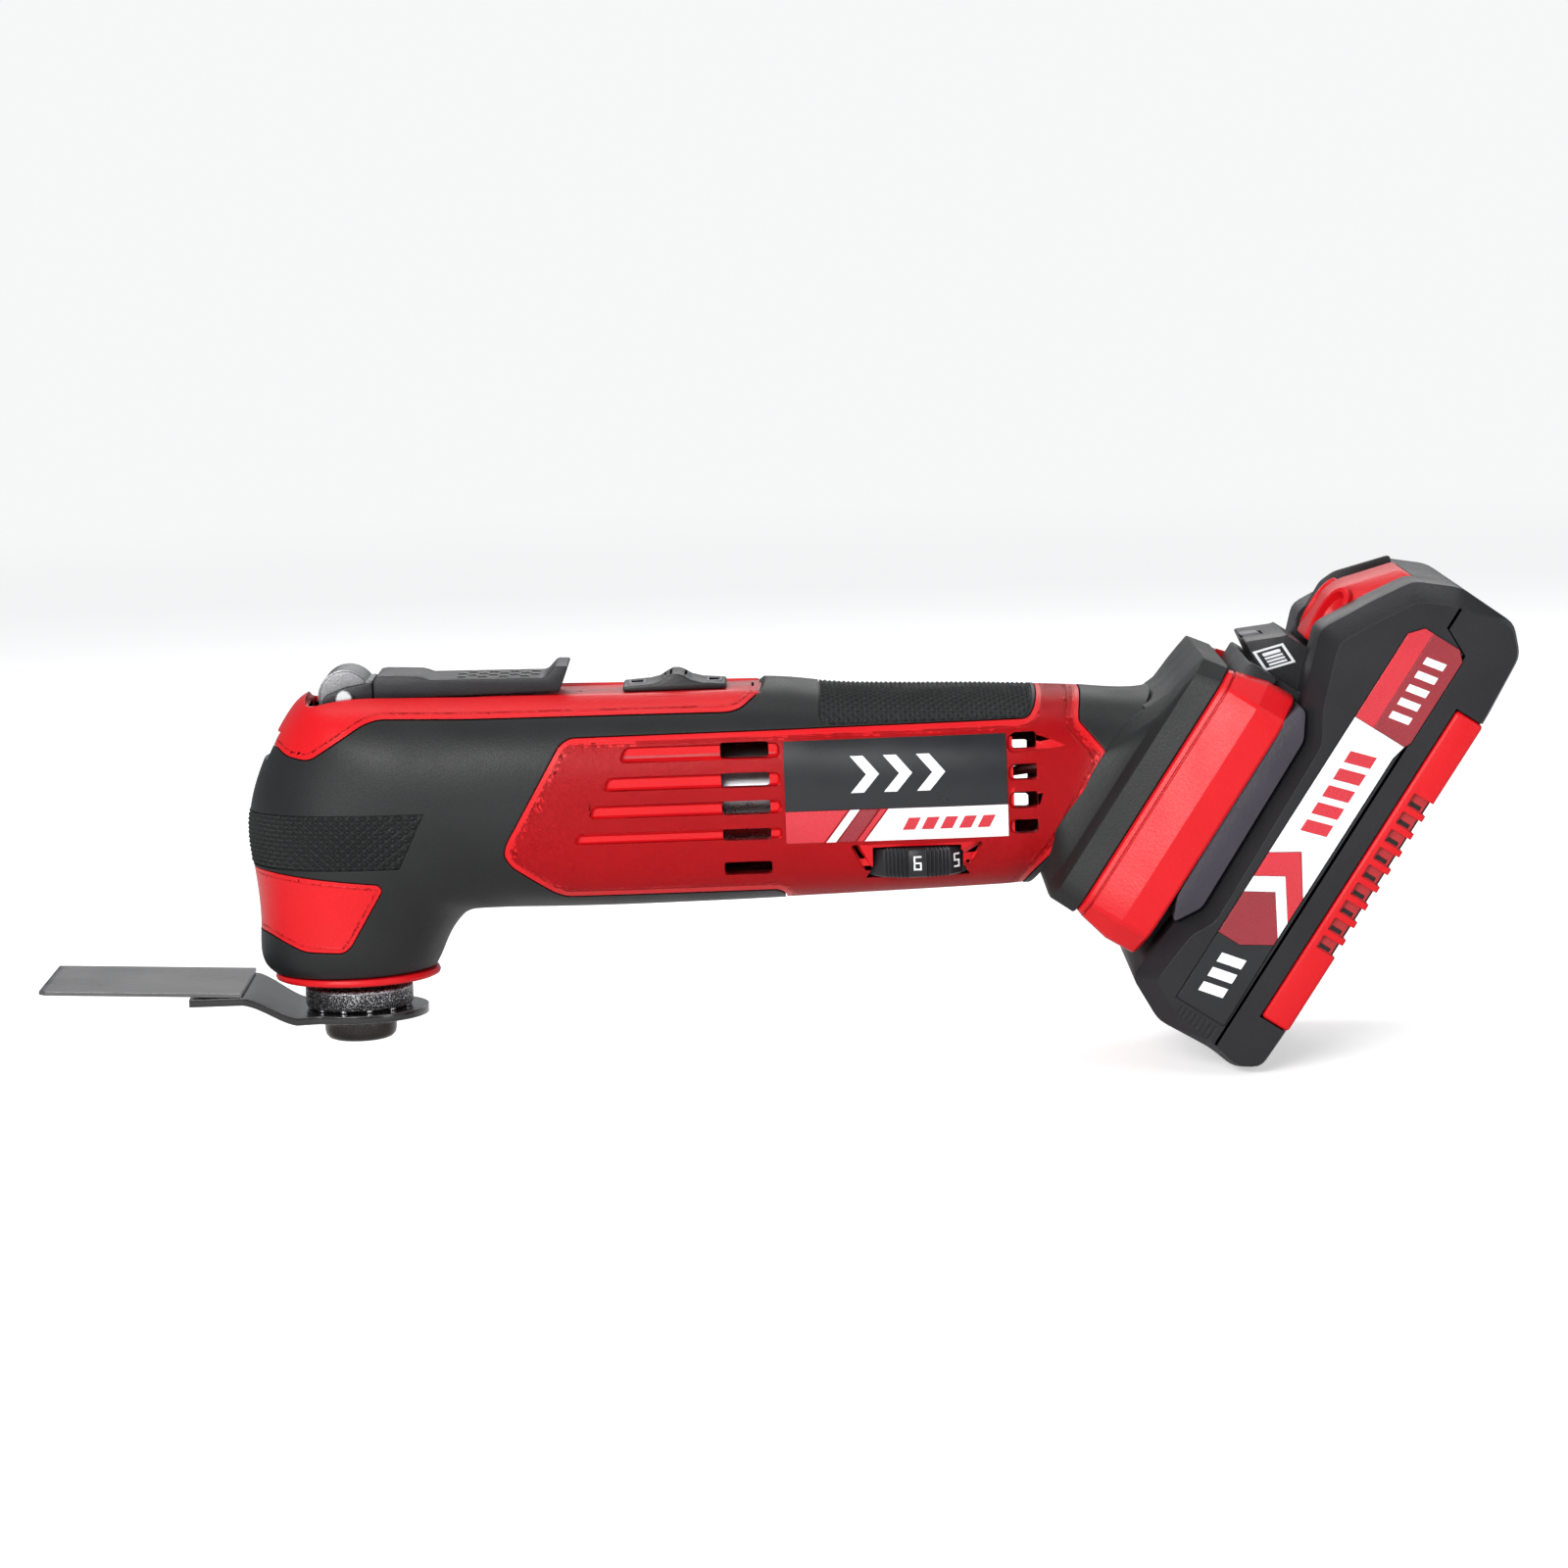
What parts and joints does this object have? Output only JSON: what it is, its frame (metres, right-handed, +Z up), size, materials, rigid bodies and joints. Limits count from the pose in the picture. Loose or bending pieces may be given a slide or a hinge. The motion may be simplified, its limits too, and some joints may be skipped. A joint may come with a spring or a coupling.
{
  "type": "oscillating multi tool",
  "caption": "Cordless oscillating multi tool with a barrel head, quick-release blade clamp, slide switch, speed dial and a sloping slide-on battery.",
  "frame": {"origin": "on the spindle axis, at the centre of the clamp bolt head's outer face", "axes": "+Z up along the spindle, +X along the body towards the battery, +Y to the tool's right side"},
  "size_m": [0.3433, 0.074, 0.1146],
  "materials": {
    "red_plastic": "fine spark-eroded moulded red plastic",
    "soft_grip": "matte black soft overmold",
    "black_plastic": "matte moulded black plastic",
    "grey_plastic": "matte grey plastic",
    "clear_lens": "clear moulded lens",
    "bright_steel": "machined steel",
    "dark_steel": "black oxide steel",
    "blade_steel": "grey ground blade steel",
    "cast_alloy": "die-cast alloy",
    "contact_brass": "bright brass and copper",
    "circuit_board": "green solder mask",
    "lead_cover": "wire insulation",
    "cell_wrap": "shrink wrap"
  },
  "bodies": {
    "housing": {"left_housing": "red_plastic", "right_housing": "red_plastic", "left_overmold": "soft_grip", "right_overmold": "soft_grip", "left_neck_overmold": "soft_grip", "right_neck_overmold": "soft_grip", "base_ring": "red_plastic", "work_light_lens": "clear_lens", "lever_pin": "bright_steel", "housing_screw_1": "dark_steel", "housing_screw_2": "dark_steel", "housing_screw_3": "dark_steel", "housing_screw_4": "dark_steel", "housing_screw_5": "dark_steel", "gear_case": "cast_alloy", "lower_spindle_bearing": "bright_steel", "upper_spindle_bearing": "bright_steel", "front_motor_bearing": "bright_steel", "rear_motor_bearing": "bright_steel", "motor_can": "bright_steel", "motor_end_cap": "black_plastic", "motor_brush_left": "dark_steel", "motor_brush_right": "dark_steel", "control_board": "circuit_board", "power_switch": "black_plastic", "terminal_block": "black_plastic", "terminal_blade_left": "contact_brass", "terminal_blade_right": "contact_brass", "battery_lead": "lead_cover", "motor_lead": "lead_cover"},
    "spindle": {"spindle": "bright_steel", "drive_fork": "bright_steel", "blade_arm": "dark_steel", "saw_blade": "blade_steel"},
    "clamp": {"clamp_bolt": "dark_steel"},
    "lever": {"clamp_lever": "black_plastic", "lever_cam": "bright_steel"},
    "rotor": {"rotor_shaft": "bright_steel", "armature": "dark_steel", "commutator": "contact_brass", "cooling_fan": "black_plastic", "eccentric": "bright_steel", "eccentric_bearing": "bright_steel"},
    "switch": {"switch_slider": "black_plastic", "switch_rod": "grey_plastic"},
    "dial": {"speed_dial": "black_plastic"},
    "battery": {"battery_upper_case": "black_plastic", "battery_lower_case": "black_plastic", "battery_grip_left": "red_plastic", "battery_grip_right": "red_plastic", "cell_1": "cell_wrap", "cell_2": "cell_wrap", "cell_3": "cell_wrap", "cell_4": "cell_wrap", "cell_5": "cell_wrap", "cell_board": "circuit_board"},
    "latch": {"battery_latch": "red_plastic"},
    "gauge": {"gauge_button": "grey_plastic"}
  },
  "joints": [
    {"name": "spindle_swing", "type": "hinge", "parent": "housing", "child": "spindle", "pos_m": [0, 0, 0.02], "axis": [0, 0, 1], "range_deg": [-1.6, 1.6]},
    {"name": "clamp_release", "type": "slide", "parent": "spindle", "child": "clamp", "axis": [0, 0, -1], "range_m": [0, 0.0025]},
    {"name": "lever_flip", "type": "hinge", "parent": "housing", "child": "lever", "pos_m": [0.0004, 0, 0.0815], "axis": [0, -1, 0], "range_deg": [0, 120]},
    {"name": "rotor_spin", "type": "hinge", "parent": "housing", "child": "rotor", "pos_m": [0.06, 0, 0.0553], "axis": [1, 0, 0], "continuous": true},
    {"name": "switch_slide", "type": "slide", "parent": "housing", "child": "switch", "axis": [-1, 0, 0], "range_m": [0, 0.0055]},
    {"name": "speed_dial_turn", "type": "hinge", "parent": "housing", "child": "dial", "pos_m": [0.1318, -0.0145, 0.0406], "axis": [0, 0, 1], "range_deg": [-225, 0]},
    {"name": "battery_slide", "type": "slide", "parent": "housing", "child": "battery", "axis": [0.5563, 0, 0.831], "range_m": [0, 0.08]},
    {"name": "latch_press", "type": "slide", "parent": "battery", "child": "latch", "axis": [0.2377, 0, -0.9713], "range_m": [0, 0.003]},
    {"name": "gauge_press", "type": "slide", "parent": "battery", "child": "gauge", "axis": [0.831, 0, -0.5563], "range_m": [0, 0.0006]}
  ],
  "couplings": [
    {"joint": "lever_flip", "follows": "clamp_release", "rad_per_m": 837.75}
  ]
}
